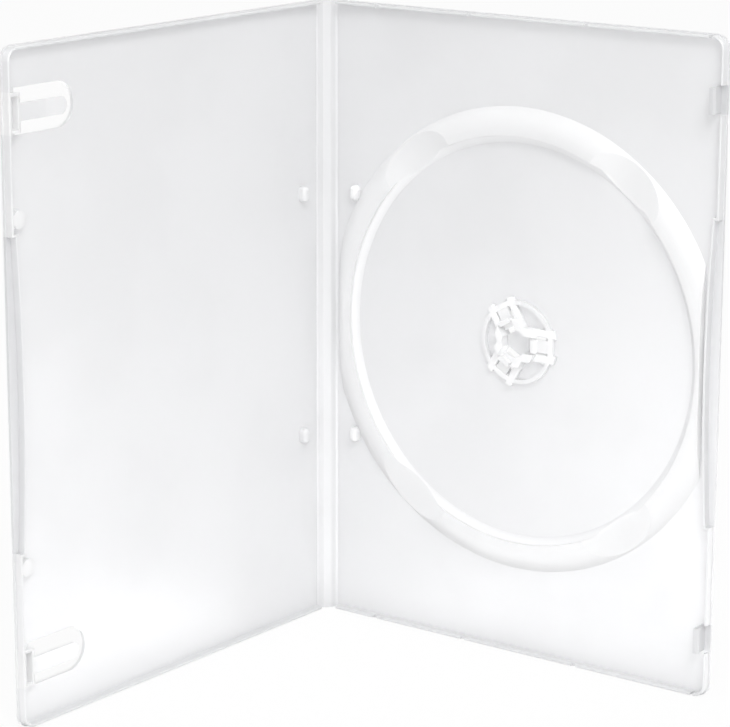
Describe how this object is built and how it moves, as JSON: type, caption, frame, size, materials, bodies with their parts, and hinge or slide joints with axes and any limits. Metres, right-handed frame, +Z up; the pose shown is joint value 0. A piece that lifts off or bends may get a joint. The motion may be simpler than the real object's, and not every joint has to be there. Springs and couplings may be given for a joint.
{
  "type": "slim dvd case",
  "caption": "Slim disc case of clear frosted plastic, folded at a spine between two living hinges, with a disc hub and well in the tray and leaflet clips in the cover.",
  "frame": {"origin": "middle of the footprint of the half-open case, on the surface that it stands on", "axes": "+Z up, along the height of the case; the tray lies along +X with its outer face towards +Y, and the cover runs towards -Y with its outer face towards -X"},
  "size_m": [0.1396, 0.1396, 0.19],
  "materials": {
    "clear_polypropylene": "frosted, see-through at its edges and ribs"
  },
  "bodies": {
    "tray": {"back_tray": "clear_polypropylene", "back_hinge_web": "clear_polypropylene"},
    "spine": {"spine": "clear_polypropylene", "front_hinge_web": "clear_polypropylene"},
    "cover": {"front_cover": "clear_polypropylene"},
    "tongue_1": {"hub_tongue_1": "clear_polypropylene"},
    "tongue_2": {"hub_tongue_2": "clear_polypropylene"},
    "tongue_3": {"hub_tongue_3": "clear_polypropylene"}
  },
  "joints": [
    {"name": "back_hinge", "type": "hinge", "parent": "tray", "child": "spine", "pos_m": [-0.06497, 0.06963, 0.095], "axis": [0, 0, 1], "range_deg": [-45, 45], "deforming": ["back_hinge_web"]},
    {"name": "front_hinge", "type": "hinge", "parent": "spine", "child": "cover", "pos_m": [-0.06963, 0.06497, 0.095], "axis": [0, 0, 1], "range_deg": [-45, 45], "deforming": ["front_hinge_web"]},
    {"name": "tongue_1_press", "type": "hinge", "parent": "tray", "child": "tongue_1", "pos_m": [0.01313, 0.06788, 0.095], "axis": [0, 0, -1], "range_deg": [0, 10], "stiffness_Nm_per_rad": 0.1},
    {"name": "tongue_2_press", "type": "hinge", "parent": "tray", "child": "tongue_2", "pos_m": [-0.00247, 0.06788, 0.10401], "axis": [0.866, 0, 0.5], "range_deg": [0, 10], "stiffness_Nm_per_rad": 0.1},
    {"name": "tongue_3_press", "type": "hinge", "parent": "tray", "child": "tongue_3", "pos_m": [-0.00247, 0.06788, 0.08599], "axis": [-0.866, 0, 0.5], "range_deg": [0, 10], "stiffness_Nm_per_rad": 0.1}
  ]
}
